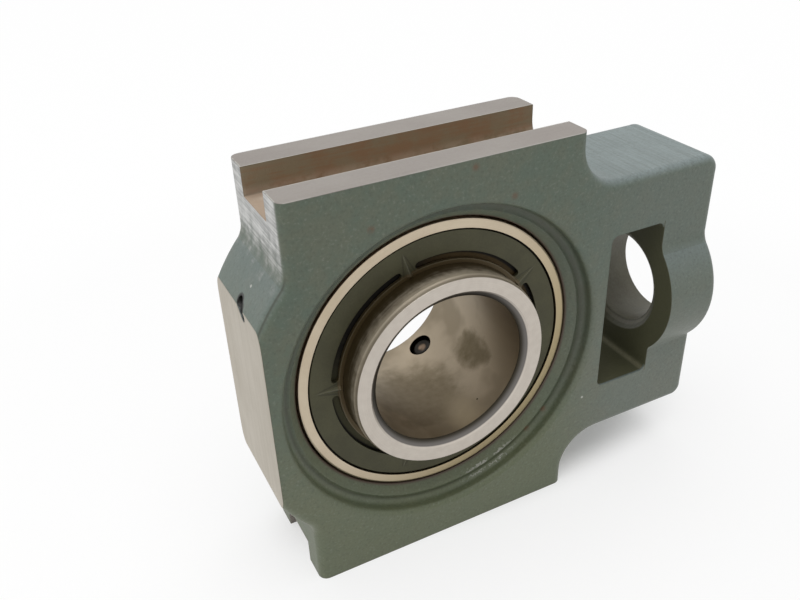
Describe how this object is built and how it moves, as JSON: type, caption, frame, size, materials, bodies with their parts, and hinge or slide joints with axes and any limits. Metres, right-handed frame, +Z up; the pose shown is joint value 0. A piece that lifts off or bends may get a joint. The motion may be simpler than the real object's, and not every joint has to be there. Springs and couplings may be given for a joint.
{
  "type": "take-up bearing unit",
  "caption": "Slide-guided cast housing with a nut slot and screw hole at one end, holding a self-aligning insert ball bearing with set screws in its inner ring.",
  "frame": {"origin": "centre of the spherical seat, on the shaft axis", "axes": "+X towards the take-up screw head, +Y along the shaft towards the set-screw side, +Z up towards the upper guide rails"},
  "size_m": [0.1382, 0.0542, 0.117],
  "materials": {
    "casting": "grey-green paint over sand casting, rails and nose flat machined bare",
    "bearing_steel": "ground bearing steel",
    "ball_steel": "polished bearing steel",
    "cage_steel": "pressed steel sheet",
    "slinger_steel": "dark coated steel sheet",
    "seal_rubber": "moulded nitrile rubber on a steel core",
    "black_steel": "black oxide",
    "plated_steel": "zinc plated"
  },
  "bodies": {
    "housing": {"housing": "casting", "grease_nipple": "plated_steel"},
    "outer_ring": {"outer_ring": "bearing_steel", "front_seal": "seal_rubber", "rear_seal": "seal_rubber"},
    "inner_ring": {"inner_ring": "bearing_steel", "front_slinger": "slinger_steel", "rear_slinger": "slinger_steel"},
    "cage": {"front_cage_half": "cage_steel", "rear_cage_half": "cage_steel", "cage_rivets": "cage_steel"},
    "ball_1": {"ball_1": "ball_steel"},
    "ball_2": {"ball_2": "ball_steel"},
    "ball_3": {"ball_3": "ball_steel"},
    "ball_4": {"ball_4": "ball_steel"},
    "ball_5": {"ball_5": "ball_steel"},
    "ball_6": {"ball_6": "ball_steel"},
    "ball_7": {"ball_7": "ball_steel"},
    "ball_8": {"ball_8": "ball_steel"},
    "ball_9": {"ball_9": "ball_steel"},
    "ball_10": {"ball_10": "ball_steel"},
    "set_screw_1": {"set_screw_1": "black_steel"},
    "set_screw_2": {"set_screw_2": "black_steel"}
  },
  "joints": [
    {"name": "self_align", "type": "hinge", "parent": "housing", "child": "outer_ring", "pos_m": [0, 0, 0], "axis": [0, 0, 1], "range_deg": [-3, 3]},
    {"name": "shaft_spin", "type": "hinge", "parent": "outer_ring", "child": "inner_ring", "pos_m": [0, 0, 0], "axis": [0, 1, 0], "continuous": true},
    {"name": "cage_spin", "type": "hinge", "parent": "outer_ring", "child": "cage", "pos_m": [0, 0, 0], "axis": [0, 1, 0], "continuous": true},
    {"name": "ball_1_roll", "type": "hinge", "parent": "cage", "child": "ball_1", "pos_m": [0.0325, 0, 0], "axis": [0, 1, 0], "continuous": true},
    {"name": "ball_2_roll", "type": "hinge", "parent": "cage", "child": "ball_2", "pos_m": [0.02629, 0, 0.0191], "axis": [0, 1, 0], "continuous": true},
    {"name": "ball_3_roll", "type": "hinge", "parent": "cage", "child": "ball_3", "pos_m": [0.01004, 0, 0.03091], "axis": [0, 1, 0], "continuous": true},
    {"name": "ball_4_roll", "type": "hinge", "parent": "cage", "child": "ball_4", "pos_m": [-0.01004, 0, 0.03091], "axis": [0, 1, 0], "continuous": true},
    {"name": "ball_5_roll", "type": "hinge", "parent": "cage", "child": "ball_5", "pos_m": [-0.02629, 0, 0.0191], "axis": [0, 1, 0], "continuous": true},
    {"name": "ball_6_roll", "type": "hinge", "parent": "cage", "child": "ball_6", "pos_m": [-0.0325, 0, 0], "axis": [0, 1, 0], "continuous": true},
    {"name": "ball_7_roll", "type": "hinge", "parent": "cage", "child": "ball_7", "pos_m": [-0.02629, 0, -0.0191], "axis": [0, 1, 0], "continuous": true},
    {"name": "ball_8_roll", "type": "hinge", "parent": "cage", "child": "ball_8", "pos_m": [-0.01004, 0, -0.03091], "axis": [0, 1, 0], "continuous": true},
    {"name": "ball_9_roll", "type": "hinge", "parent": "cage", "child": "ball_9", "pos_m": [0.01004, 0, -0.03091], "axis": [0, 1, 0], "continuous": true},
    {"name": "ball_10_roll", "type": "hinge", "parent": "cage", "child": "ball_10", "pos_m": [0.02629, 0, -0.0191], "axis": [0, 1, 0], "continuous": true},
    {"name": "set_screw_1_travel", "type": "slide", "parent": "inner_ring", "child": "set_screw_1", "axis": [0.5105, 0, -0.8599], "range_m": [-0.0006, 0.003]},
    {"name": "set_screw_2_travel", "type": "slide", "parent": "inner_ring", "child": "set_screw_2", "axis": [0.4894, 0, 0.8721], "range_m": [-0.0006, 0.003]}
  ],
  "couplings": [
    {"joint": "cage_spin", "follows": "shaft_spin", "ratio": 0.40231},
    {"joint": "ball_1_roll", "follows": "shaft_spin", "ratio": -2.4614},
    {"joint": "ball_2_roll", "follows": "shaft_spin", "ratio": -2.4614},
    {"joint": "ball_3_roll", "follows": "shaft_spin", "ratio": -2.4614},
    {"joint": "ball_4_roll", "follows": "shaft_spin", "ratio": -2.4614},
    {"joint": "ball_5_roll", "follows": "shaft_spin", "ratio": -2.4614},
    {"joint": "ball_6_roll", "follows": "shaft_spin", "ratio": -2.4614},
    {"joint": "ball_7_roll", "follows": "shaft_spin", "ratio": -2.4614},
    {"joint": "ball_8_roll", "follows": "shaft_spin", "ratio": -2.4614},
    {"joint": "ball_9_roll", "follows": "shaft_spin", "ratio": -2.4614},
    {"joint": "ball_10_roll", "follows": "shaft_spin", "ratio": -2.4614}
  ]
}
